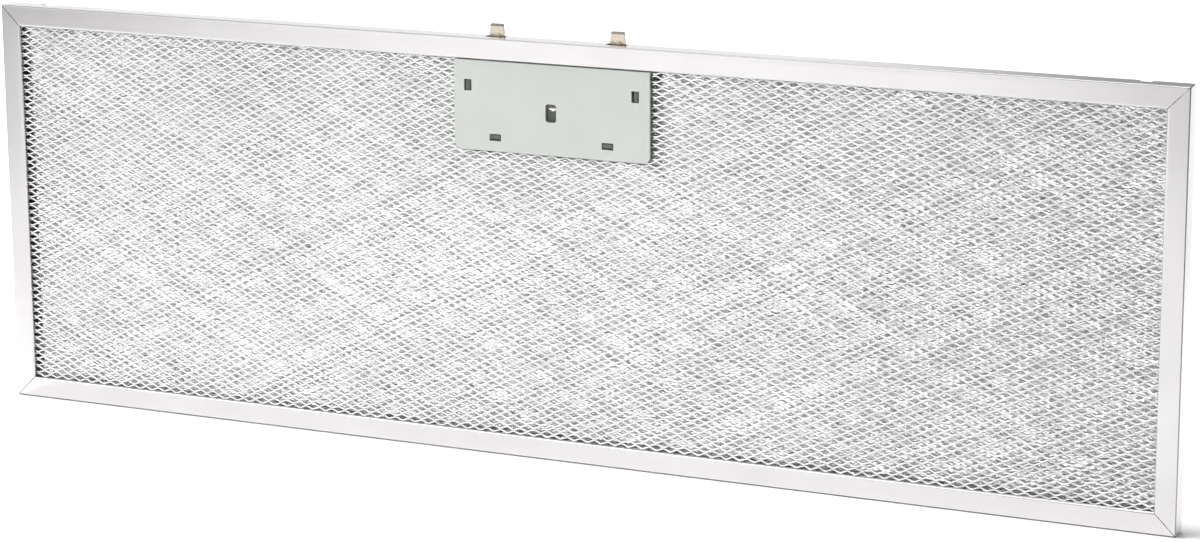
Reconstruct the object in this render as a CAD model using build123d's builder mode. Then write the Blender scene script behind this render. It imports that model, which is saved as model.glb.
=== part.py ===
from build123d import *
import os

# Grease filter cassette of an under cabinet range hood, in millimetres.
# It stands on its long lower edge: X along its width, Z up, Y through its thickness.
# The origin is at the middle of the lower edge. The latch plate faces -Y.

os.makedirs("parts", exist_ok=True)

# ---- driving dimensions ----------------------------------------------------------
WIDTH = 530.0
HEIGHT = 176.0
THICK = 9.0

# channel rails
SHEET = 0.6
FLANGE = 9.0
HEM = 2.0
BEND = 0.55
LIP_RADIUS = 1.0
MITRE_GAP = 0.2

# staking scoops near the rail ends
SCOOP_FROM_END = 19.6
SCOOP_LENGTH = 6.0
SCOOP_DEPTH = 0.75
SCOOP_INNER_Y = 1.5

# corner keys
KEY_ARM = 30.0
KEY_WIDTH = 3.2
KEY_CLEAR = 0.1
KEY_POCKET = (7.0, 0.8)
KEY_CHAMFER = 0.5

# mesh pack, clamped between the hems
PACK_EDGE = 4.1
GUARD_THICK = 0.9
LAYER_COUNT = 5
NOTCH_CLEAR = 0.3

# latch plate
PLATE_WIDTH = 88.0
PLATE_BOTTOM = 46.8
PLATE_THICK = 1.0
PLATE_INSET = 0.2
PLATE_GAP = 0.35
PLATE_CORNER = 3.0
SIDE_WINDOW = (37.6, 19.8, 3.4, 4.75)
LOW_WINDOW = (25.3, 41.0, 5.2, 2.9)
PEEP_TOP = 25.4
PEEP_HEIGHT = 7.6
PEEP_WIDTH = 4.9
PEEP_CORNER = 1.2
PLATE_CHAMFER = 0.2

# latch housing
HOUSING_WIDTH = 86.0
HOUSING_TOP = 9.5
HOUSING_BOTTOM = 46.2
WALL = 1.6
FACE_THICK = 1.0
RIM = 3.0
RIM_THICK = 0.7
PULL_WIDTH = 32.0
PULL_TOP = 18.6
PULL_BOTTOM = 43.6
TAB_WIDTH = 24.0
TAB_TOP = 3.0
TAB_THICK = 2.6
TAB_GAP = 0.6
PULL_CORNER = 2.0
STOP_X = 9.0
STOP_WIDTH = 4.0
# snap arms: size across and up, and how far the wedge end leans towards its hook
SIDE_ARM = (1.8, 4.0)
LOW_ARM = (4.2, 1.8)
ARM_LEAN = 0.5
ARM_TAPER = 1.6
ARM_RECESS = 0.3

# slider, tongues and springs
BEAM_HALF = 35.0
BEAM_TOP = 14.0
BEAM_BOTTOM = 19.8
BLOCK_HALF = 15.4
BLOCK_BOTTOM = 36.8
LEDGE_TOP = 33.4
SLIDER_FRONT = -0.6
SLIDER_BACK = 2.0
PAN_BACK = 0.6
TONGUE_X = 27.1
TONGUE_BASE_WIDTH = 6.6
TONGUE_TIP_WIDTH = 5.7
TONGUE_RISE = 5.2
TONGUE_STRAIGHT = 1.0
TONGUE_BEVEL = 0.9
TONGUE_CORNER = 0.5
TONGUE_THICK = 1.0
TONGUE_FOOT = 19.4
TONGUE_SLOT_WIDTH = 8.8
TONGUE_SLOT_FRONT = -0.3
TONGUE_SLOT_BACK = 3.4
TONGUE_SLOT_CORNER = 0.6
TONGUE_WAY_WIDTH = 8.2
RIVET_DEPTH = 17.0
RIVET_RADIUS = 1.0
SPRING_X = 31.9
SPRING_RADIUS = 2.0
SPRING_WIRE = 0.45
SPRING_TURNS = 9
POST_RADIUS = 1.4
POST_HEIGHT = 3.0
STOP_GAP = 0.35
CHEEK = 1.2
CHEEK_BACK = 3.0
RIVET_HEAD = 0.6
RIVET_ROUND = 0.3
TONGUE_BOSS_RADIUS = 1.6
TONGUE_BOSS_RISE = 0.5
GRIP_WIDTH = 18.0
GRIP_TALL = 0.6
GRIP_RISE = 0.4
GRIP_PITCH = 1.6
GRIP_COUNT = 4
GRIP_FROM_LEDGE = 2.2
LEDGE_ROUND = 0.5
BEAM_CORNER = 1.0
SPRING_CLEAR = 0.05
SPRING_FORWARD = 0.3
OVERLAP = 0.1
LAP = 0.5

# index block on the slider's front, seen through the plate's slot
INDEX_HALF = 4.0
INDEX_TOP = 21.0
INDEX_GAP = 0.35
RIB_TOP = 29.3
RIB_PITCH = 1.1
RIB_TALL = 0.55
RIB_RISE = 0.5
RIB_COUNT = 6
NOTCH_TOP = 27.3
NOTCH_TALL = 1.3
NOTCH_SHOULDER = 0.35
NOTCH_HALF = 1.8
SKIN = 0.8
LIGHT_WELL_TALL = 4.2
LIGHT_WELL_HALF = 3.2

# ---- derived places ---------------------------------------------------------------
FRONT = -THICK / 2
BACK = THICK / 2
PACK_HALF = BACK - 2 * SHEET
PLATE_FRONT = FRONT + PLATE_INSET
PLATE_BACK = PLATE_FRONT + PLATE_THICK
PLATE_TOP = FLANGE + PLATE_GAP
FACE_BACK = BACK - PLATE_INSET
FACE_FRONT = FACE_BACK - FACE_THICK
LAYER_THICK = (2 * PACK_HALF - 2 * GUARD_THICK) / LAYER_COUNT
SCOOP_RADIUS = (SCOOP_LENGTH**2 / 4 + SCOOP_DEPTH**2) / (2 * SCOOP_DEPTH)
SPRING_Y = (SLIDER_FRONT + SLIDER_BACK) / 2 - SPRING_FORWARD
INDEX_FRONT = PLATE_BACK + INDEX_GAP
SIDES = (-1, 1)


def down(depth):
    """Height of a point that lies this far below the frame's top edge."""
    return HEIGHT - depth


def facing(y):
    """Sketch plane across the thickness: x is the width, y is up, extrudes towards +Y."""
    return Plane(origin=(0, y, 0), x_dir=(-1, 0, 0), z_dir=(0, 1, 0))


def slab_between(low_depth, high_depth):
    """Middle height and size of a stretch between two depths below the top edge."""
    return down((low_depth + high_depth) / 2), abs(high_depth - low_depth)


def save(built, name):
    """Label a finished piece and write its STEP file."""
    built.part.label = name
    export_step(built.part, f"parts/{name}.step")


# ---- rails ------------------------------------------------------------------------
def channel_rail(start, along, inward, length):
    """Bent sheet U-channel with hemmed flanges, mitred at both ends."""
    start_at = Vector(*start)
    run = Vector(*along)
    inner = Vector(*inward)
    with BuildPart() as rail:
        with BuildSketch(Plane(origin=start_at, x_dir=inner, z_dir=run)) as profile:
            with Locations((FLANGE / 2, 0)):
                Rectangle(FLANGE, THICK)
            with Locations(((FLANGE + SHEET) / 2, 0)):
                Rectangle(FLANGE - SHEET, THICK - 2 * SHEET, mode=Mode.SUBTRACT)
            for side in SIDES:
                with Locations((FLANGE - HEM / 2, side * (BACK - 1.5 * SHEET))):
                    Rectangle(HEM, SHEET)
            fillet(profile.vertices().group_by(Axis.X)[0], BEND)
            lip_corners = profile.vertices().group_by(Axis.X)[-1].sort_by(Axis.Y)
            fillet([lip_corners[0], lip_corners[-1]], LIP_RADIUS)
        extrude(amount=length)
        near = start_at + run * MITRE_GAP
        far = start_at + run * (length - MITRE_GAP)
        split(bisect_by=Plane(origin=near, z_dir=run - inner), keep=Keep.TOP)
        split(bisect_by=Plane(origin=far, z_dir=-run - inner), keep=Keep.TOP)
    return rail


def stake_scoops(rail, level, outward):
    """Press the two staking scoops into a rail's outer side, at its back edge."""
    axis_level = level + outward * (SCOOP_RADIUS - SCOOP_DEPTH)
    depth = BACK - SCOOP_INNER_Y
    for side in SIDES:
        place = Location((side * (WIDTH / 2 - SCOOP_FROM_END), SCOOP_INNER_Y + depth, axis_level))
        with Locations(place):
            Cylinder(SCOOP_RADIUS, 2 * depth, rotation=(90, 0, 0), mode=Mode.SUBTRACT)
    return rail


lower_rail = channel_rail((-WIDTH / 2, 0, 0), (1, 0, 0), (0, 0, 1), WIDTH)
upper_rail = channel_rail((-WIDTH / 2, 0, HEIGHT), (1, 0, 0), (0, 0, -1), WIDTH)
left_rail = channel_rail((-WIDTH / 2, 0, 0), (0, 0, 1), (1, 0, 0), HEIGHT)
right_rail = channel_rail((WIDTH / 2, 0, 0), (0, 0, 1), (-1, 0, 0), HEIGHT)

with BuildPart() as rail_bottom:
    add(lower_rail.part)
    stake_scoops(rail_bottom, 0, -1)

with BuildPart() as rail_top:
    add(upper_rail.part)
    stake_scoops(rail_top, HEIGHT, 1)
    with BuildSketch(Plane.XY.offset(HEIGHT - 2 * SHEET)):
        for side in SIDES:
            with Locations((side * TONGUE_X, (TONGUE_SLOT_FRONT + TONGUE_SLOT_BACK) / 2)):
                RectangleRounded(TONGUE_SLOT_WIDTH, TONGUE_SLOT_BACK - TONGUE_SLOT_FRONT, TONGUE_SLOT_CORNER)
    extrude(amount=3 * SHEET, mode=Mode.SUBTRACT)

save(rail_bottom, "rail_bottom")
save(rail_top, "rail_top")
save(left_rail, "rail_left")
save(right_rail, "rail_right")


# ---- corner keys ------------------------------------------------------------------
def corner_key(across, up):
    """L-shaped key inside two channels; across and up point away from the frame's middle."""
    corner_x = across * (WIDTH / 2 - SHEET - KEY_CLEAR)
    corner_z = HEIGHT / 2 + up * (HEIGHT / 2 - SHEET - KEY_CLEAR)
    thick = THICK - 2 * SHEET - 2 * KEY_CLEAR
    with BuildPart() as key:
        with BuildSketch(facing(-thick / 2)):
            with Locations((-corner_x + across * KEY_ARM / 2, corner_z - up * KEY_WIDTH / 2)):
                Rectangle(KEY_ARM, KEY_WIDTH)
            with Locations((-corner_x + across * KEY_WIDTH / 2, corner_z - up * KEY_ARM / 2)):
                Rectangle(KEY_WIDTH, KEY_ARM)
        extrude(amount=thick)
        with BuildSketch(facing(SCOOP_INNER_Y - KEY_CLEAR)):
            pocket = across * (WIDTH / 2 - SCOOP_FROM_END)
            with Locations((-pocket, corner_z)):
                Rectangle(*KEY_POCKET)
        extrude(amount=THICK, mode=Mode.SUBTRACT)
        tips = key.faces().filter_by(Axis.X).sort_by(Axis.X)
        far_tip = tips[0] if across > 0 else tips[-1]
        chamfer(far_tip.edges(), KEY_CHAMFER)
        ends = key.faces().filter_by(Axis.Z).sort_by(Axis.Z)
        low_tip = ends[0] if up > 0 else ends[-1]
        chamfer(low_tip.edges(), KEY_CHAMFER)
    return key


for across, side_name in ((-1, "left"), (1, "right")):
    for up, level_name in ((-1, "bottom"), (1, "top")):
        save(corner_key(across, up), f"corner_key_{level_name}_{side_name}")


# ---- mesh pack --------------------------------------------------------------------
def mesh_sheet(near_y, thick):
    """One sheet of the pack as a plain plate, cut out where the latch housing sits."""
    with BuildPart() as sheet:
        with BuildSketch(facing(near_y)):
            with Locations((0, HEIGHT / 2)):
                Rectangle(WIDTH - 2 * PACK_EDGE, HEIGHT - 2 * PACK_EDGE)
            with Locations((0, down(PACK_EDGE + (HOUSING_BOTTOM + NOTCH_CLEAR - PACK_EDGE) / 2))):
                notch_height = HOUSING_BOTTOM + NOTCH_CLEAR - PACK_EDGE
                Rectangle(HOUSING_WIDTH + 2 * NOTCH_CLEAR, notch_height, mode=Mode.SUBTRACT)
        extrude(amount=thick)
    return sheet


save(mesh_sheet(-PACK_HALF, GUARD_THICK), "guard_mesh_front")
save(mesh_sheet(PACK_HALF - GUARD_THICK, GUARD_THICK), "guard_mesh_back")
for layer in range(LAYER_COUNT):
    layer_y = -PACK_HALF + GUARD_THICK + layer * LAYER_THICK
    save(mesh_sheet(layer_y, LAYER_THICK), f"filter_layer_{layer + 1}")


# ---- latch plate and housing ------------------------------------------------------
def window_centres(window):
    """The two mirrored places of a snap window."""
    x, depth, _, _ = window
    return [(side * x, down(depth)) for side in SIDES]


with BuildPart() as latch_back_plate:
    with BuildSketch(facing(PLATE_FRONT)) as plate_outline:
        middle, tall = slab_between(PLATE_TOP, PLATE_BOTTOM)
        with Locations((0, middle)):
            Rectangle(PLATE_WIDTH, tall)
        fillet(plate_outline.vertices().group_by(Axis.Y)[0], PLATE_CORNER)
        with Locations((0, down(PEEP_TOP + PEEP_HEIGHT / 2))):
            RectangleRounded(PEEP_WIDTH, PEEP_HEIGHT, PEEP_CORNER, mode=Mode.SUBTRACT)
        for window in (SIDE_WINDOW, LOW_WINDOW):
            with Locations(*window_centres(window)):
                Rectangle(window[2], window[3], mode=Mode.SUBTRACT)
    extrude(amount=PLATE_THICK)
    chamfer(latch_back_plate.faces().sort_by(Axis.Y)[0].outer_wire().edges(), PLATE_CHAMFER)
save(latch_back_plate, "latch_back_plate")


def snap_arm(side, window, size, lean_x, lean_z):
    """Arm from the housing's face into a window of the plate, with a wedge end."""
    x, level = side * window[0], down(window[1])
    wide, tall = size
    shoulder = PLATE_BACK - ARM_RECESS
    with BuildPart() as arm:
        with BuildSketch(facing(PLATE_FRONT + ARM_RECESS)):
            with Locations((-x - side * lean_x, level + lean_z)):
                Rectangle(wide - lean_x * ARM_TAPER, tall - lean_z * ARM_TAPER)
        with BuildSketch(facing(shoulder)):
            with Locations((-x, level)):
                Rectangle(wide, tall)
        loft()
        with BuildSketch(facing(shoulder)):
            with Locations((-x, level)):
                Rectangle(wide, tall)
        extrude(amount=FACE_BACK - PLATE_BACK)
    return arm


snap_arms = []
for side in SIDES:
    snap_arms.append(snap_arm(side, SIDE_WINDOW, SIDE_ARM, ARM_LEAN, 0))
    snap_arms.append(snap_arm(side, LOW_WINDOW, LOW_ARM, 0, ARM_LEAN))

with BuildPart() as latch_housing:
    # walls between the plate and the face
    with BuildSketch(facing(PLATE_BACK)):
        middle, tall = slab_between(HOUSING_TOP, HOUSING_BOTTOM)
        with Locations((0, middle)):
            Rectangle(HOUSING_WIDTH, tall)
            Rectangle(HOUSING_WIDTH - 2 * WALL, tall - 2 * WALL, mode=Mode.SUBTRACT)
    extrude(amount=FACE_BACK - PLATE_BACK)
    # rim that laps over the back mesh
    with BuildSketch(facing(FACE_BACK - RIM_THICK)) as rim_outline:
        middle, tall = slab_between(HOUSING_TOP, HOUSING_BOTTOM + RIM)
        with Locations((0, middle)):
            Rectangle(HOUSING_WIDTH + 2 * RIM, tall)
        fillet(rim_outline.vertices().group_by(Axis.Y)[0], PLATE_CORNER)
        middle, tall = slab_between(HOUSING_TOP + WALL / 2, HOUSING_BOTTOM - WALL / 2)
        with Locations((0, middle)):
            Rectangle(HOUSING_WIDTH - WALL, tall, mode=Mode.SUBTRACT)
    extrude(amount=RIM_THICK)
    # face with the finger opening
    with BuildSketch(facing(FACE_FRONT)):
        middle, tall = slab_between(HOUSING_TOP, HOUSING_BOTTOM)
        with Locations((0, middle)):
            Rectangle(HOUSING_WIDTH, tall)
        middle, tall = slab_between(PULL_TOP, PULL_BOTTOM)
        with Locations((0, middle)):
            RectangleRounded(PULL_WIDTH, tall, PULL_CORNER, mode=Mode.SUBTRACT)
    extrude(amount=FACE_THICK)
    # tab that hooks up into the top channel
    with BuildSketch(facing(PLATE_BACK + TAB_GAP)):
        middle, tall = slab_between(TAB_TOP, HOUSING_TOP + WALL / 2)
        with Locations((0, middle)):
            Rectangle(TAB_WIDTH, tall)
    extrude(amount=TAB_THICK)
    # stops that the slider rests against
    with BuildSketch(facing(SLIDER_FRONT)):
        middle, tall = slab_between(HOUSING_TOP + WALL / 2, BEAM_TOP - STOP_GAP)
        for side in SIDES:
            with Locations((side * STOP_X, middle)):
                Rectangle(STOP_WIDTH, tall)
    extrude(amount=SLIDER_BACK - SLIDER_FRONT)
    # spring posts on the lower wall
    with BuildSketch(Plane.XY.offset(down(HOUSING_BOTTOM - WALL / 2))):
        for side in SIDES:
            with Locations((side * SPRING_X, SPRING_Y)):
                Circle(POST_RADIUS)
    extrude(amount=POST_HEIGHT)
    for arm in snap_arms:
        add(arm.part)
    # ways through the top wall for the tongues
    with BuildSketch(Plane.XY.offset(down(HOUSING_TOP + 1.5 * WALL))):
        for side in SIDES:
            with Locations((side * TONGUE_X, (TONGUE_SLOT_FRONT + FACE_FRONT) / 2)):
                Rectangle(TONGUE_WAY_WIDTH, FACE_FRONT - TONGUE_SLOT_FRONT)
    extrude(amount=2 * WALL, mode=Mode.SUBTRACT)
save(latch_housing, "latch_housing")


# ---- slider, tongues, rivets and springs ------------------------------------------
with BuildPart() as latch_slider:
    # beam that carries the tongues and sits on the springs
    with BuildSketch(facing(SLIDER_FRONT)):
        middle, tall = slab_between(BEAM_TOP, BEAM_BOTTOM)
        with Locations((0, middle)):
            RectangleRounded(2 * BEAM_HALF, tall, BEAM_CORNER)
    extrude(amount=SLIDER_BACK - SLIDER_FRONT)
    # finger pan
    with BuildSketch(facing(SLIDER_FRONT)):
        middle, tall = slab_between(BEAM_BOTTOM - LAP, BLOCK_BOTTOM)
        with Locations((0, middle)):
            Rectangle(2 * BLOCK_HALF, tall)
    extrude(amount=PAN_BACK - SLIDER_FRONT)
    # ledge under the fingertip, flush with the housing's face
    with BuildSketch(facing(SLIDER_FRONT)):
        middle, tall = slab_between(LEDGE_TOP, BLOCK_BOTTOM)
        with Locations((0, middle)):
            Rectangle(2 * BLOCK_HALF, tall)
    extrude(amount=FACE_BACK - SLIDER_FRONT)
    grip_edges = latch_slider.faces().sort_by(Axis.Y)[-1].edges()
    fillet(grip_edges, LEDGE_ROUND)
    # side cheeks of the pan
    with BuildSketch(facing(SLIDER_FRONT)):
        middle, tall = slab_between(BEAM_BOTTOM - LAP, LEDGE_TOP + LAP)
        for side in SIDES:
            with Locations((side * (BLOCK_HALF - CHEEK / 2), middle)):
                Rectangle(CHEEK, tall)
    extrude(amount=CHEEK_BACK - SLIDER_FRONT)
    # grip ridges across the pan
    with BuildSketch(facing(PAN_BACK - OVERLAP)):
        for ridge in range(GRIP_COUNT):
            with Locations((0, down(LEDGE_TOP - GRIP_FROM_LEDGE - ridge * GRIP_PITCH))):
                Rectangle(GRIP_WIDTH, GRIP_TALL)
    extrude(amount=GRIP_RISE + OVERLAP)
    # index block behind the plate's slot
    with BuildSketch(facing(INDEX_FRONT + RIB_RISE)):
        middle, tall = slab_between(INDEX_TOP, BLOCK_BOTTOM)
        with Locations((0, middle)):
            Rectangle(2 * INDEX_HALF, tall)
    extrude(amount=SLIDER_FRONT - INDEX_FRONT)
    # raised head and ribs on the block
    with BuildSketch(facing(INDEX_FRONT)):
        middle, tall = slab_between(INDEX_TOP, RIB_TOP - RIB_TALL)
        with Locations((0, middle)):
            Rectangle(2 * INDEX_HALF, tall)
        for rib in range(RIB_COUNT):
            with Locations((0, down(RIB_TOP + rib * RIB_PITCH))):
                Rectangle(2 * INDEX_HALF, RIB_TALL)
    extrude(amount=RIB_RISE + OVERLAP)
    # V-notched window through the head
    with BuildSketch(facing(INDEX_FRONT - LAP)):
        with BuildLine():
            Polyline(
                (-NOTCH_HALF, down(NOTCH_TOP)),
                (NOTCH_HALF, down(NOTCH_TOP)),
                (NOTCH_HALF, down(NOTCH_TOP + NOTCH_SHOULDER)),
                (0, down(NOTCH_TOP + NOTCH_TALL)),
                (-NOTCH_HALF, down(NOTCH_TOP + NOTCH_SHOULDER)),
                close=True,
            )
        make_face()
    extrude(amount=SKIN + 2 * LAP, mode=Mode.SUBTRACT)
    # light well behind it, open to the finger pull
    with BuildSketch(facing(INDEX_FRONT + SKIN)):
        with Locations((0, down(NOTCH_TOP - SKIN / 2 + LIGHT_WELL_TALL / 2))):
            Rectangle(2 * LIGHT_WELL_HALF, LIGHT_WELL_TALL)
    extrude(amount=THICK, mode=Mode.SUBTRACT)
    # spring posts under the beam's ends
    with BuildSketch(Plane.XY.offset(down(BEAM_BOTTOM + POST_HEIGHT))):
        for side in SIDES:
            with Locations((side * SPRING_X, SPRING_Y)):
                Circle(POST_RADIUS)
    extrude(amount=POST_HEIGHT + LAP)
    # rivet holes
    with BuildSketch(facing(SLIDER_FRONT - LAP)):
        for side in SIDES:
            with Locations((side * TONGUE_X, down(RIVET_DEPTH))):
                Circle(RIVET_RADIUS)
    extrude(amount=THICK, mode=Mode.SUBTRACT)
save(latch_slider, "latch_slider")


def latch_tongue(x):
    """Flat steel strip: riveted foot, straight shank and tapered tip, with a stamped boss."""
    with BuildPart() as tongue:
        with BuildSketch(facing(SLIDER_BACK)) as blank:
            with BuildLine():
                Polyline(
                    (-x - TONGUE_BASE_WIDTH / 2, down(TONGUE_FOOT)),
                    (-x + TONGUE_BASE_WIDTH / 2, down(TONGUE_FOOT)),
                    (-x + TONGUE_BASE_WIDTH / 2, down(-TONGUE_STRAIGHT)),
                    (-x + TONGUE_TIP_WIDTH / 2, down(-TONGUE_RISE)),
                    (-x - TONGUE_TIP_WIDTH / 2, down(-TONGUE_RISE)),
                    (-x - TONGUE_BASE_WIDTH / 2, down(-TONGUE_STRAIGHT)),
                    close=True,
                )
            make_face()
            fillet(blank.vertices().group_by(Axis.Y)[-1], TONGUE_CORNER)
            with Locations((-x, down(RIVET_DEPTH))):
                Circle(RIVET_RADIUS, mode=Mode.SUBTRACT)
        extrude(amount=TONGUE_THICK)
        # bevel across the tip's front
        bevel_start = (0, SLIDER_BACK, down(-TONGUE_RISE) - TONGUE_BEVEL)
        split(bisect_by=Plane(origin=bevel_start, z_dir=(0, -1, 1)), keep=Keep.BOTTOM)
        # stamped half-round boss at the level of the rail
        with BuildSketch(facing(SLIDER_BACK - TONGUE_BOSS_RISE)):
            with Locations((-x, down(0))):
                Circle(TONGUE_BOSS_RADIUS)
        extrude(amount=TONGUE_BOSS_RISE)
    return tongue


save(latch_tongue(-TONGUE_X), "latch_tongue_left")
save(latch_tongue(TONGUE_X), "latch_tongue_right")

with BuildPart() as latch_rivets:
    with BuildSketch(facing(SLIDER_FRONT)):
        for side in SIDES:
            with Locations((side * TONGUE_X, down(RIVET_DEPTH))):
                Circle(RIVET_RADIUS)
    extrude(amount=SLIDER_BACK + TONGUE_THICK - SLIDER_FRONT)
    with BuildSketch(facing(SLIDER_FRONT - RIVET_HEAD)):
        for side in SIDES:
            with Locations((side * TONGUE_X, down(RIVET_DEPTH))):
                Circle(2 * RIVET_RADIUS)
    extrude(amount=RIVET_HEAD)
    fillet(latch_rivets.faces().group_by(Axis.Y)[0].edges(), RIVET_ROUND)
save(latch_rivets, "latch_rivets")


def compression_spring(x):
    """Coil spring between the housing's lower wall and the beam."""
    low = down(HOUSING_BOTTOM - WALL) + SPRING_WIRE / 2 + SPRING_CLEAR
    high = down(BEAM_BOTTOM) - SPRING_WIRE / 2 - SPRING_CLEAR
    pitch = (high - low) / SPRING_TURNS
    with BuildPart() as spring:
        with BuildLine() as coil:
            Helix(pitch, high - low, SPRING_RADIUS, center=(x, SPRING_Y, low))
        with BuildSketch(Plane(origin=coil.line @ 0, z_dir=coil.line % 0)):
            Circle(SPRING_WIRE / 2)
        sweep(is_frenet=True)
    return spring


save(compression_spring(-SPRING_X), "latch_spring_left")
save(compression_spring(SPRING_X), "latch_spring_right")
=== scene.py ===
"""Looks of the range hood grease filter cassette: expanded mesh, rails, latch, studio and camera."""
import math

import bpy
import numpy as np
from mathutils import Matrix, Vector


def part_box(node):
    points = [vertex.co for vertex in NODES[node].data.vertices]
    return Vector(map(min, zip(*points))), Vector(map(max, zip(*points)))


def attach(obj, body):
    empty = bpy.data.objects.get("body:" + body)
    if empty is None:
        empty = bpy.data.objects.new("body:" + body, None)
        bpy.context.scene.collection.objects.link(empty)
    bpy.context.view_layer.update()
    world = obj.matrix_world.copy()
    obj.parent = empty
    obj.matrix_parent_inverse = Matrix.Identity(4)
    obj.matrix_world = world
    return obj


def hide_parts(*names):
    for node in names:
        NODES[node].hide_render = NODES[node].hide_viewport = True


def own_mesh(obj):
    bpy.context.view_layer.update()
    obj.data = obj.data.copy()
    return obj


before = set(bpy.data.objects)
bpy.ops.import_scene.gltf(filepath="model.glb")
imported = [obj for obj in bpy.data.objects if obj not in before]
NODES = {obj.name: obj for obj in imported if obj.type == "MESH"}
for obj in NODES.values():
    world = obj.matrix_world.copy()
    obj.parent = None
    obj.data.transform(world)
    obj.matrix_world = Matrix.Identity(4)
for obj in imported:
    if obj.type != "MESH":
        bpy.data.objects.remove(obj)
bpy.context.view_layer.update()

MM = 0.001
ROOT = "cassette"

# ---- the camera, placed round the frame's front face --------------------------------
AIM = Vector((0.0218, -0.0045, 0.0831))
AZIMUTH = 24.56
ELEVATION = 13.17
ROLL = -0.30
DISTANCE = 1.390
LENS = 102.04
SENSOR = 36.0
CLIP = (0.01, 60.0)

# ---- the rails' outer bends: painted shade in their colour, and rougher metal --------
BEND_PAINTED_SHADE = (0.36, 0.35, 0.355)
BEND_ROUGHNESS = 0.5
BEND_WIDE = 0.50 * MM
BEND_NARROW = 0.32 * MM

# ---- the latch: painted shade at the tongues' tips and on the barbs in the plate's windows ---
TONGUE_TAN = (0.78, 0.69, 0.59)
TONGUE_TAN_DARK = (0.69, 0.60, 0.51)
TONGUE_PAINTED_SHADE = (0.30, 0.29, 0.27)
PAINTED_SHADE_FROM_TIP = (1.10 * MM, 0.90 * MM)
BARB_PAINTED_SHADE = (0.13, 0.14, 0.135)
BARB_FADE = 0.2 * MM

# ---- depths of the surfaces' grain, in metres ----------------------------------------
ROLLED_GRAIN = 0.0000012
MOULDED_GRAIN = 0.00001
DRAWN_GRAIN = 0.000006

# ---- expanded metal, in millimetres and degrees --------------------------------------
# long and short are the two ways of a diamond, width, thick and tilt are a strand's, and
# bond is the length of a joint. jitter is how far a bond strays, crumple how far the sheet
# bends out of its plane, and twist how far a strand turns.
GUARD = dict(long=6.2, short=3.2, width=0.76, thick=0.24, tilt=25.0, bond=0.8)
GUARD.update(jitter=0.055, crumple=0.04, twist=6)
FOIL = dict(long=5.05, short=2.62, width=0.42, thick=0.10, tilt=40.0, bond=0.0)
FOIL.update(jitter=0.18, crumple=0.20, twist=34)
FOIL_LAYERS = 5
FOIL_PITCH_STEP = 0.05
FOIL_SHIFT = 0.37
FOIL_SEED = 20
STRAY_IN_DEPTH = 0.6
DRIFT_X = 0.22
DRIFT_Z = 0.14
DRIFT_WAVES = dict(waves=5, shortest=60, longest=160)
CRUMPLE_WAVES = dict(waves=6, shortest=5, longest=22)
PROUD_OF_BOX = 0.05
NOTCH_INSET = 0.6
# corners of a strand's section, as shares of half its width and half its thickness
GUARD_SECTION = [(-1, -1), (1, -1), (1, 1), (-1, 1)]
FOIL_SECTION = [(-1, 0.6), (0.1, -1), (1, 0.6)]

# ---- the springs ---------------------------------------------------------------------
SPRING_WIRE = 0.45 * MM
SPRING_TURNS = 9
SPRING_STEPS = 28
WIRE_SIDES = 12
WIRE_SHARP_ANGLE = 50

# ---- surroundings: strength near the horizon to the left and right, and overhead -----
HORIZON_TURN = (-0.36, -0.26)
HORIZON_LEFT = 1.08
HORIZON_RIGHT = 0.40
SKY_RISE = (0.1, 0.6)
SKY_HIGH = 0.42

# ---- lamps and floor, in metres, watts and degrees -----------------------------------
SOFTBOX_PLACE = (-1.30, -1.9, 1.75)
SOFTBOX_AIM = (0, 0, 0.1)
SOFTBOX_SIZE = 1.7
SOFTBOX_SPREAD = 60
SOFTBOX_POWER = 3.3
# x, y, reach on the floor, softness of the edge, power
POOLS = {
    "near_pool": (-0.10, -0.10, 0.68, 0.2, 190.0),
    "front_pool": (-0.40, -1.00, 0.54, 0.65, 240.0),
    "back_pool": (-0.35, 1.20, 1.50, 0.6, 260.0),
}
POOL_HEIGHT = 2.6
POOL_LEAN = 0.001
POOL_LAMP_RADIUS = 0.15
FLOOR_REACH = 8.0
FLOOR_DROP = 0.0002


# ---- small helpers -------------------------------------------------------------------
def mesh_object(name, points, loops, sizes):
    """A mesh object from an array of points, the faces' corners in a row, and their numbers."""
    mesh = bpy.data.meshes.new(name)
    mesh.vertices.add(len(points))
    mesh.vertices.foreach_set("co", points.astype(np.float32).ravel())
    mesh.loops.add(len(loops))
    mesh.loops.foreach_set("vertex_index", loops.astype(np.int32))
    mesh.polygons.add(len(sizes))
    starts = np.concatenate([[0], np.cumsum(sizes)[:-1]])
    mesh.polygons.foreach_set("loop_start", starts.astype(np.int32))
    mesh.update(calc_edges=True)
    mesh.validate()
    obj = bpy.data.objects.new(name, mesh)
    bpy.context.scene.collection.objects.link(obj)
    return obj


def smooth_by_angle(obj, degrees):
    """Smooth shading with edges sharper than this angle kept hard."""
    mesh = obj.data
    mesh.polygons.foreach_set("use_smooth", np.ones(len(mesh.polygons), bool))
    mesh.set_sharp_from_angle(angle=math.radians(degrees))


def rail_frame():
    """Lowest and highest corners of the four rails together."""
    low_x, low_y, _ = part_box("rail_left")[0]
    high_x, high_y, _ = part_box("rail_right")[1]
    low_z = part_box("rail_bottom")[0][2]
    high_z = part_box("rail_top")[1][2]
    return Vector((low_x, low_y, low_z)), Vector((high_x, high_y, high_z))


def paint(obj, material):
    """Give every face of an object one material."""
    obj.data.materials.clear()
    obj.data.materials.append(material)


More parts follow.
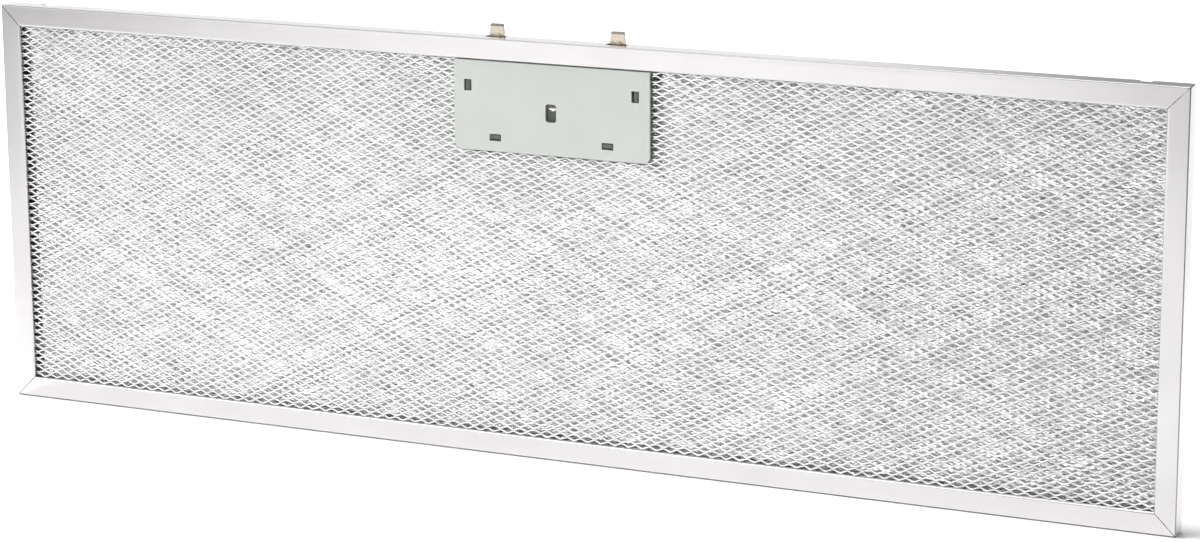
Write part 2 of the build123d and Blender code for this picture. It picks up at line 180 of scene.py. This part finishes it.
# ---- materials -----------------------------------------------------------------------
class Nodes:
    """A new material with its Principled shader, and short ways to add and link nodes."""

    def __init__(self, name):
        self.material = bpy.data.materials.new(name)
        self.material.use_nodes = True
        self.tree = self.material.node_tree
        self.shader = self.tree.nodes["Principled BSDF"]
        self.place = self.add("ShaderNodeTexCoord").outputs["Object"]

    def add(self, kind, **values):
        """A new node, with values for its properties or, by name, for its inputs."""
        node = self.tree.nodes.new(kind)
        for key, value in values.items():
            if hasattr(node, key):
                setattr(node, key, value)
            else:
                node.inputs[key.replace("_", " ")].default_value = value
        return node

    def link(self, source, target):
        """Link an output to an input."""
        self.tree.links.new(source, target)

    def surface(self, **sources):
        """Link outputs to the shader's inputs by name."""
        for key, source in sources.items():
            self.link(source, self.shader.inputs[key.replace("_", " ")])

    def set(self, **values):
        """Set the shader's own inputs by name."""
        for key, value in values.items():
            self.shader.inputs[key].default_value = value

    def stretched(self, scale):
        """Object coordinates scaled differently along each axis."""
        mapping = self.add("ShaderNodeMapping", Scale=scale)
        self.link(self.place, mapping.inputs["Vector"])
        return mapping.outputs["Vector"]

    def along(self, axis):
        """Object coordinate along one axis."""
        split = self.add("ShaderNodeSeparateXYZ")
        self.link(self.place, split.inputs["Vector"])
        return split.outputs[axis]

    def noise(self, vector, scale, detail=3.0, rough=0.5):
        """Noise between 0 and 1, mostly near 0.5."""
        node = self.add("ShaderNodeTexNoise", Scale=scale, Detail=detail, Roughness=rough)
        self.link(vector, node.inputs["Vector"])
        return node.outputs["Fac"]

    def spread(self, value, low=0.0, high=1.0, start=0.3, end=0.7):
        """Map a value to a range: a noise's, unless start and end say otherwise."""
        node = self.add("ShaderNodeMapRange", From_Min=start, From_Max=end, To_Min=low, To_Max=high)
        self.link(value, node.inputs["Value"])
        return node.outputs["Result"]

    def tint(self, value, dark, light):
        """Mix two colours by a value between 0 and 1."""
        node = self.add("ShaderNodeMix", data_type="RGBA")
        self.link(value, node.inputs[0])
        node.inputs[6].default_value = (*dark, 1)
        node.inputs[7].default_value = (*light, 1)
        return node.outputs[2]

    def blend(self, share, source, colour):
        """Mix from a colour output towards one plain colour."""
        node = self.add("ShaderNodeMix", data_type="RGBA")
        self.link(share, node.inputs[0])
        self.link(source, node.inputs[6])
        node.inputs[7].default_value = (*colour, 1)
        return node.outputs[2]

    def blend_value(self, share, source, number):
        """Mix from a value output towards one plain number."""
        node = self.add("ShaderNodeMix", data_type="FLOAT")
        self.link(share, node.inputs[0])
        self.link(source, node.inputs[2])
        node.inputs[3].default_value = number
        return node.outputs[0]

    def maths(self, operation, first, second):
        """One sum on two values."""
        node = self.add("ShaderNodeMath", operation=operation)
        self.link(first, node.inputs[0])
        self.link(second, node.inputs[1])
        return node.outputs[0]

    def bump(self, height, distance):
        """Normal bent by a height of up to this distance."""
        node = self.add("ShaderNodeBump", Distance=distance)
        self.link(height, node.inputs["Height"])
        return node.outputs["Normal"]


def bend_shade_mask(m):
    """1 on the outer bends of the rails, where shade is painted and the metal is rougher, 0 on their
    flat sides.
    """
    low, high = rail_frame()
    half = (high - low) / 2
    offset = m.add("ShaderNodeVectorMath", operation="SUBTRACT")
    offset.inputs[1].default_value = (low + high) / 2
    m.link(m.place, offset.inputs[0])
    away = m.add("ShaderNodeVectorMath", operation="ABSOLUTE")
    m.link(offset.outputs[0], away.inputs[0])
    split = m.add("ShaderNodeSeparateXYZ")
    m.link(away.outputs[0], split.inputs["Vector"])
    near_x, near_y, near_z = (
        m.spread(distance, start=reach - BEND_WIDE, end=reach - BEND_NARROW)
        for distance, reach in zip(split.outputs, half)
    )
    return m.maths("MULTIPLY", m.maths("MAXIMUM", near_x, near_z), near_y)


def rail_metal(name, rolling):
    """Bright rolled aluminium sheet with faint lines, long where rolling's scale is small, and
    painted shade on the outer bends.
    """
    m = Nodes(name)
    lines = m.noise(m.stretched(rolling), scale=1.0)
    clouds = m.spread(m.noise(m.place, scale=26.0))
    sheet = m.tint(clouds, dark=(0.70, 0.68, 0.69), light=(0.74, 0.725, 0.735))
    bend = bend_shade_mask(m)
    m.surface(
        # painted shade: the bends' colour turns grey, and their metal rougher
        Base_Color=m.blend(bend, sheet, BEND_PAINTED_SHADE),
        Roughness=m.blend_value(bend, m.spread(lines, low=0.13, high=0.19), BEND_ROUGHNESS),
        Normal=m.bump(lines, ROLLED_GRAIN),
    )
    m.set(Metallic=1.0)
    return m.material


def mesh_metal(name, dark, light, roughness, grain):
    """Bright aluminium strand with slit-edge grain and small brightness changes."""
    m = Nodes(name)
    patches = m.spread(m.noise(m.place, scale=18.0, detail=2.0))
    spots = m.noise(m.place, scale=420.0)
    fine = m.noise(m.place, scale=1600.0, detail=2.0)
    m.surface(
        Base_Color=m.tint(patches, dark, light),
        Roughness=m.spread(spots, *roughness),
        Normal=m.bump(fine, grain),
    )
    m.set(Metallic=1.0)
    return m.material


def plastic(name, dark, light, roughness, painted_front_shade=None):
    """Moulded plastic: faint flow clouds, fine spark-eroded grain, uneven gloss.

    The last argument, if given, is a depth in Y and a colour: whatever lies in front of that depth
    has that colour, as painted shade.
    """
    m = Nodes(name)
    clouds = m.spread(m.noise(m.place, scale=40.0))
    colour = m.tint(clouds, dark, light)
    if painted_front_shade:
        depth, front_shade_colour = painted_front_shade
        # painted shade: whatever lies in front of the depth takes the shade colour
        front = m.spread(m.along("Y"), low=1, high=0, start=depth, end=depth + BARB_FADE)
        colour = m.blend(front, colour, front_shade_colour)
    m.surface(
        Base_Color=colour,
        Roughness=m.spread(m.noise(m.place, scale=160.0), *roughness),
        Normal=m.bump(m.noise(m.place, scale=2600.0, detail=2.0), MOULDED_GRAIN),
    )
    return m.material


def steel(name, dark, light, roughness, streaks, painted_top_shade=None):
    """Drawn or stamped metal with streaks, long along the axis where their scale is small.

    The last argument, if given, is a range of heights and a colour: the metal turns to that colour
    over the range, as painted shade.
    """
    m = Nodes(name)
    lines = m.noise(m.stretched(streaks), scale=1.0, detail=4.0, rough=0.6)
    stains = m.spread(m.noise(m.place, scale=700.0))
    colour = m.tint(stains, dark, light)
    if painted_top_shade:
        (start, end), top_shade_colour = painted_top_shade
        # painted shade: the metal greys over the range of heights
        colour = m.blend(m.spread(m.along("Z"), start=start, end=end), colour, top_shade_colour)
    m.surface(
        Base_Color=colour,
        Roughness=m.spread(lines, *roughness),
        Normal=m.bump(lines, DRAWN_GRAIN),
    )
    m.set(Metallic=1.0)
    return m.material


# ---- expanded metal ------------------------------------------------------------------
def ripple(x, z, rng, waves, shortest, longest):
    """Smooth random field over the sheet, about -1 to 1, from sine waves in all directions."""
    field = np.zeros(np.broadcast(x, z).shape)
    for _ in range(waves):
        angle = rng.uniform(0, math.pi)
        length = rng.uniform(shortest, longest)
        phase = rng.uniform(0, 2 * math.pi)
        along = x * math.cos(angle) + z * math.sin(angle)
        field += np.sin(2 * math.pi * along / length + phase)
    return field / math.sqrt(waves)


def latch_cutout():
    """Half width and lower level, in millimetres, of the cut-out round the latch housing."""
    low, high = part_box("latch_back_plate")
    return high[0] / MM - NOTCH_INSET, low[2] / MM + NOTCH_INSET


def strand_lines(low, high, make, rng, side, shift):
    """Middle lines of the strands, a row each: x, y and z at every bond, and the turn about X.

    Every strand zigzags between two rows of bonds. At a bond it sits on the near or the far
    half, so the whole strand leans: side is +1 where the upper bonds lie further back.
    """
    half_long, half_short = make["long"] / 2, make["short"] / 2
    columns = int((high[0] - low[0]) / half_long) + 1
    rows = int((high[2] - low[2]) / half_short)
    lean = math.radians(make["tilt"])
    step_y = side * make["width"] / 2 * math.sin(lean)
    step_z = make["width"] / 2 * math.cos(lean)

    row = np.arange(rows)[:, None]
    column = np.arange(columns)[None, :]
    upper = (row + column) % 2
    bond_row = row + upper
    bond_x = low[0] + (column + 0.5 * shift) * half_long + 0 * row
    bond_z = low[2] + bond_row * half_short

    strays = rng.normal(0, 1, (3, rows + 1, columns))
    stray_x, stray_z, stray_y = (stray[bond_row, column] for stray in strays)
    drift_x = ripple(bond_x, bond_z, rng, **DRIFT_WAVES) * DRIFT_X
    drift_z = ripple(bond_x, bond_z, rng, **DRIFT_WAVES) * DRIFT_Z
    bend = ripple(bond_x, bond_z, rng, **CRUMPLE_WAVES) * make["crumple"]

    jitter = make["jitter"]
    middle_y = (low[1] + high[1]) / 2
    x = bond_x + drift_x + stray_x * jitter
    z = bond_z + drift_z + stray_z * jitter + np.where(upper, -step_z, step_z)
    y = middle_y + bend + stray_y * jitter * STRAY_IN_DEPTH + np.where(upper, step_y, -step_y)
    turn = side * lean + stray_y * math.radians(make["twist"])
    return x, y, z, turn


def strand_rings(x, y, z, turn, make, section):
    """Corners of the strand's section round every point of the middle lines."""
    corners = []
    for across, through in section:
        reach = across * make["width"] / 2
        depth = through * make["thick"] / 2
        corner_y = y + reach * np.sin(turn) + depth * np.cos(turn)
        corner_z = z + reach * np.cos(turn) - depth * np.sin(turn)
        corners.append(np.stack([x, corner_y, corner_z], -1))
    return np.stack(corners, 2)


def kept_stretches(x, z, low, high, strands):
    """Which stretches between neighbouring points lie in the box, clear of the latch cut-out."""
    half_width, lower_level = latch_cutout()
    rows = len(x)
    row = np.arange(rows)[:, None]
    middle_x = (x[:, 1:] + x[:, :-1]) / 2
    middle_z = (z[:, 1:] + z[:, :-1]) / 2
    keep = (middle_x > low[0]) & (middle_x < high[0]) & (middle_z < high[2])
    keep &= ~((np.abs(middle_x) < half_width) & (middle_z > lower_level))
    keep &= (row >= int(strands[0] * rows)) & (row < int(strands[1] * rows))
    return keep


def strand_faces(keep, sides):
    """Corners and sizes of the walls of the kept stretches, with a cap at each loose end."""
    rows, stretches = keep.shape
    count = stretches + 1
    ring = (np.arange(rows)[:, None] * count + np.arange(count)[None, :]) * sides
    near, far = ring[:, :-1][keep], ring[:, 1:][keep]
    faces = []
    for i in range(sides):
        j = (i + 1) % sides
        faces.append(np.stack([near + i, near + j, far + j, far + i], -1))
    before = np.pad(keep, ((0, 0), (1, 0)))[:, :-1]
    after = np.pad(keep, ((0, 0), (0, 1)))[:, 1:]
    starts = ring[:, :-1][keep & ~before]
    ends = ring[:, 1:][keep & ~after]
    faces.append(np.stack([starts + i for i in reversed(range(sides))], -1))
    faces.append(np.stack([ends + i for i in range(sides)], -1))
    loops = np.concatenate([part.ravel() for part in faces])
    sizes = np.concatenate([np.full(len(part), part.shape[1]) for part in faces])
    return loops, sizes


def expanded_sheet(name, node, make, seed, side, strands=(0, 1), shift=0.0):
    """Slit-and-stretched metal filling a node's box, in millimetres until the end.

    strands limits the sheet to a share of its strands, and shift moves it along X by quarters
    of a diamond.
    """
    rng = np.random.default_rng(seed)
    low, high = (np.array(corner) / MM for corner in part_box(node))
    x, y, z, turn = strand_lines(low, high, make, rng, side, shift)
    section = FOIL_SECTION
    if make["bond"]:
        section = GUARD_SECTION
        x = np.stack([x - make["bond"] / 2, x + make["bond"] / 2], -1).reshape(len(x), -1)
        y, z, turn = (np.repeat(values, 2, axis=1) for values in (y, z, turn))
    points = strand_rings(x, y, z, turn, make, section)
    points[..., 1] = np.clip(points[..., 1], low[1] - PROUD_OF_BOX, high[1] + PROUD_OF_BOX)

    loops, sizes = strand_faces(kept_stretches(x, z, low, high, strands), len(section))
    used, renumbered = np.unique(loops, return_inverse=True)
    sheet = mesh_object(name, points.reshape(-1, 3)[used] * MM, renumbered.ravel(), sizes)
    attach(sheet, ROOT)
    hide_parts(node)
    return sheet


def build_guards():
    """Both guard meshes, each in a lower and an upper half."""
    metal = mesh_metal(
        "guard_strand",
        dark=(0.89, 0.89, 0.89),
        light=(0.95, 0.95, 0.95),
        roughness=(0.22, 0.38),
        grain=0.00001,
    )
    for node, side, seed in (("guard_mesh_front", 1, 11), ("guard_mesh_back", -1, 12)):
        for half, strands in (("lower", (0, 0.5)), ("upper", (0.5, 1))):
            sheet = expanded_sheet(f"{node}_{half}", node, GUARD, seed, side, strands)
            paint(sheet, metal)


def build_foils():
    """The crinkled foil layers, leaning by turns either way, each a little coarser or finer,
    coloured darker than the guard as painted shade.
    """
    metal = mesh_metal(
        "filter_foil",
        # colour darker than the guard's: painted shade for the layers lying behind the guard
        dark=(0.74, 0.74, 0.74),
        light=(0.87, 0.87, 0.87),
        roughness=(0.08, 0.22),
        grain=0.00002,
    )
    for layer in range(1, FOIL_LAYERS + 1):
        side = 1 if layer % 2 else -1
        pitch = 1 + FOIL_PITCH_STEP * (layer % 3 - 1)
        make = dict(FOIL, long=FOIL["long"] * pitch, short=FOIL["short"] * pitch)
        node = f"filter_layer_{layer}"
        seed = FOIL_SEED + layer
        sheet = expanded_sheet(f"foil_{layer}", node, make, seed, side, shift=layer * FOIL_SHIFT)
        paint(sheet, metal)


# ---- springs -------------------------------------------------------------------------
def coil_line(low, high):
    """Middle line of the wire of a coil with closed ends, and its outward directions."""
    radius = (high[0] - low[0] - SPRING_WIRE) / 2
    length = high[2] - low[2] - SPRING_WIRE
    turn = np.linspace(0, SPRING_TURNS, SPRING_TURNS * SPRING_STEPS + 1)
    angle = 2 * math.pi * turn
    outward = np.stack([np.cos(angle), np.sin(angle), 0 * angle], -1)
    turns = [0, 1, SPRING_TURNS - 1, SPRING_TURNS]
    heights = [0, SPRING_WIRE, length - SPRING_WIRE, length]
    centre = (low + high) / 2 + outward * radius
    centre[:, 2] = low[2] + SPRING_WIRE / 2 + np.interp(turn, turns, heights)
    return centre, outward


def wire_faces(steps):
    """Corners and sizes of a wire's walls and its two ends."""
    ring = np.arange(WIRE_SIDES)
    after = (ring + 1) % WIRE_SIDES
    near = np.arange(steps)[:, None] * WIRE_SIDES
    far = near + WIRE_SIDES
    walls = np.stack([near + ring, far + ring, far + after, near + after], -1)
    last = steps * WIRE_SIDES
    loops = np.concatenate([walls.ravel(), ring, last + ring[::-1]])
    sizes = np.concatenate([np.full(walls.size // 4, 4), [WIRE_SIDES, WIRE_SIDES]])
    return loops, sizes


def coil_spring(node, material):
    """Compression spring that fills a node's box."""
    low, high = (np.array(corner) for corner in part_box(node))
    centre, outward = coil_line(low, high)
    along = np.gradient(centre, axis=0)
    along /= np.linalg.norm(along, axis=1)[:, None]
    upward = np.cross(outward, along)
    around = np.linspace(0, 2 * math.pi, WIRE_SIDES, endpoint=False)[None, :, None]
    spokes = np.cos(around) * outward[:, None] + np.sin(around) * upward[:, None]
    points = centre[:, None] + spokes * SPRING_WIRE / 2

    spring = mesh_object(f"{node}_coil", points.reshape(-1, 3), *wire_faces(len(centre) - 1))
    smooth_by_angle(spring, WIRE_SHARP_ANGLE)
    paint(spring, material)
    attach(spring, ROOT)
    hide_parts(node)

    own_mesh(spring)


# ---- carried-over CAD pieces ---------------------------------------------------------
def finish_rails():
    """Rolled sheet for the rails, mill finish for the corner keys."""
    long_rail = rail_metal("rail_long", rolling=(4, 700, 700))
    short_rail = rail_metal("rail_short", rolling=(700, 700, 4))
    keys = steel(
        "key_aluminium",
        dark=(0.62, 0.62, 0.63),
        light=(0.74, 0.74, 0.75),
        roughness=(0.3, 0.5),
        streaks=(200, 200, 200),
    )
    for edge in ("top", "bottom"):
        paint(NODES[f"rail_{edge}"], long_rail)
    for edge in ("left", "right"):
        paint(NODES[f"rail_{edge}"], short_rail)
    for name in NODES:
        if name.startswith("corner_key"):
            paint(NODES[name], keys)


def finish_latch():
    """Moulded plastics, passivated tongues, bright rivets and coiled springs."""
    plate = plastic(
        "latch_plate",
        dark=(0.655, 0.68, 0.645),
        light=(0.695, 0.72, 0.685),
        roughness=(0.42, 0.55),
    )
    housing = plastic(
        "latch_housing",
        dark=(0.42, 0.44, 0.42),
        light=(0.50, 0.52, 0.50),
        roughness=(0.30, 0.46),
        # painted shade on the barbs' ends seen in the plate's windows
        painted_front_shade=(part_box("latch_back_plate")[1][1], BARB_PAINTED_SHADE),
    )
    slider = plastic(
        "latch_slider",
        dark=(0.12, 0.125, 0.12),
        light=(0.17, 0.175, 0.17),
        roughness=(0.35, 0.50),
    )
    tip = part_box("latch_tongue_left")[1][2]
    tongue = steel(
        "tongue_steel",
        dark=TONGUE_TAN_DARK,
        light=TONGUE_TAN,
        roughness=(0.24, 0.40),
        streaks=(900, 900, 60),
        # painted shade on the tongues' top band, below the tip
        painted_top_shade=([tip - depth for depth in PAINTED_SHADE_FROM_TIP], TONGUE_PAINTED_SHADE),
    )
    bright = steel(
        "bright_steel",
        dark=(0.62, 0.62, 0.62),
        light=(0.72, 0.72, 0.72),
        roughness=(0.22, 0.34),
        streaks=(60, 900, 900),
    )
    paint(NODES["latch_back_plate"], plate)
    paint(NODES["latch_housing"], housing)
    paint(NODES["latch_slider"], slider)
    paint(NODES["latch_rivets"], bright)
    for side in ("left", "right"):
        paint(NODES[f"latch_tongue_{side}"], tongue)
        coil_spring(f"latch_spring_{side}", bright)


# ---- studio and camera ---------------------------------------------------------------
def soft_sky():
    """Surroundings that change from left to right near the horizon, and are even overhead."""
    world = bpy.data.worlds.new("studio")
    world.use_nodes = True
    nodes, links = world.node_tree.nodes, world.node_tree.links
    background = nodes["Background"]
    background.inputs["Color"].default_value = (1, 1, 1, 1)
    split = nodes.new("ShaderNodeSeparateXYZ")
    links.new(nodes.new("ShaderNodeTexCoord").outputs["Generated"], split.inputs["Vector"])

    def ramp(source, start, end):
        node = nodes.new("ShaderNodeMapRange")
        node.interpolation_type = "SMOOTHSTEP"
        node.inputs["From Min"].default_value = start
        node.inputs["From Max"].default_value = end
        links.new(source, node.inputs["Value"])
        return node

    horizon = ramp(split.outputs["X"], *HORIZON_TURN)
    horizon.inputs["To Min"].default_value = HORIZON_LEFT
    horizon.inputs["To Max"].default_value = HORIZON_RIGHT
    level = ramp(split.outputs["Z"], *SKY_RISE)
    links.new(horizon.outputs["Result"], level.inputs["To Min"])
    level.inputs["To Max"].default_value = SKY_HIGH
    links.new(level.outputs["Result"], background.inputs["Strength"])
    bpy.context.scene.world = world


def pale_floor():
    """Plain white floor, a hair below the part."""
    corners = [(-1, -1), (1, -1), (1, 1), (-1, 1)]
    points = np.array([(x * FLOOR_REACH, y * FLOOR_REACH, -FLOOR_DROP) for x, y in corners])
    floor = mesh_object("floor", points, np.arange(4), np.array([4]))
    pale = Nodes("floor_white")
    clouds = pale.spread(pale.noise(pale.place, scale=3.0))
    pale.surface(Base_Color=pale.tint(clouds, dark=(0.93, 0.93, 0.93), light=(0.95, 0.95, 0.95)))
    pale.set(Roughness=0.9)
    paint(floor, pale.material)


def add_lamp(name, kind, place, aim, power, **values):
    """A lamp at a place, turned towards a point."""
    lamp = bpy.data.lights.new(name, kind)
    lamp.energy = power
    for key, value in values.items():
        setattr(lamp, key, value)
    obj = bpy.data.objects.new(name, lamp)
    obj.location = place
    obj.rotation_euler = (Vector(aim) - Vector(place)).to_track_quat("-Z", "Y").to_euler()
    bpy.context.scene.collection.objects.link(obj)


def build_studio():
    """White floor, soft sky, one softbox for the metal and three pools of light on the floor."""
    pale_floor()
    soft_sky()
    add_lamp(
        "softbox", "AREA", SOFTBOX_PLACE, SOFTBOX_AIM, SOFTBOX_POWER,
        shape="SQUARE", size=SOFTBOX_SIZE, spread=math.radians(SOFTBOX_SPREAD),
    )
    for name, (x, y, reach, softness, power) in POOLS.items():
        cone = 2 * math.atan(reach / POOL_HEIGHT)
        add_lamp(
            name, "SPOT", (x, y, POOL_HEIGHT), (x, y + POOL_LEAN, 0), power,
            spot_size=cone, spot_blend=softness, shadow_soft_size=POOL_LAMP_RADIUS,
        )


def build_camera():
    """Long lens, looking down and across at the face with the latch plate."""
    azimuth, elevation = math.radians(AZIMUTH), math.radians(ELEVATION)
    level = math.cos(elevation)
    back = Vector((math.sin(azimuth) * level, -math.cos(azimuth) * level, math.sin(elevation)))
    data = bpy.data.cameras.new("camera")
    data.lens = LENS
    data.sensor_width = SENSOR
    data.clip_start, data.clip_end = CLIP
    camera = bpy.data.objects.new("camera", data)
    turn = (-back).to_track_quat("-Z", "Y").to_matrix().to_4x4()
    roll = Matrix.Rotation(math.radians(ROLL), 4, "Z")
    camera.matrix_world = Matrix.Translation(AIM + back * DISTANCE) @ turn @ roll
    bpy.context.scene.collection.objects.link(camera)
    bpy.context.scene.camera = camera


build_guards()
build_foils()
finish_rails()
finish_latch()
build_studio()
build_camera()
bpy.context.scene.view_settings.view_transform = "Standard"
